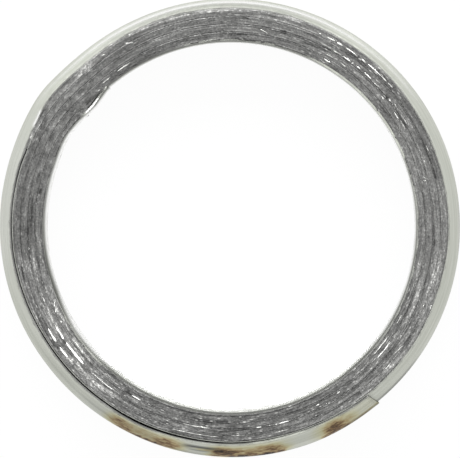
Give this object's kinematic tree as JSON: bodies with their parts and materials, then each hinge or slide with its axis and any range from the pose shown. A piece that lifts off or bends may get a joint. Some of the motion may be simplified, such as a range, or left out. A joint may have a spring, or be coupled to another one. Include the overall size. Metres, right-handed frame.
{
  "type": "exhaust manifold gasket",
  "caption": "Spiral-wound exhaust ring gasket: a V-folded stainless steel strip wound up with graphite tape, outer end spot welded.",
  "frame": {"origin": "centre of the ring on its lower sealing face", "axes": "+Z along the axis of the exhaust pipe, out of the upper sealing face; +X towards the side that is about 50 degrees anticlockwise of the outer end of the strip, seen from above"},
  "size_m": [0.0649, 0.0649, 0.005],
  "materials": {
    "stainless_strip": "rolled stainless strip, straw and brown heat tint at the spot welds",
    "graphite": "pressed flexible graphite, dull grey, smeared over the edges of the steel"
  },
  "bodies": {
    "root": {"steel_strip": "stainless_strip", "graphite_tape": "graphite"}
  },
  "joints": []
}
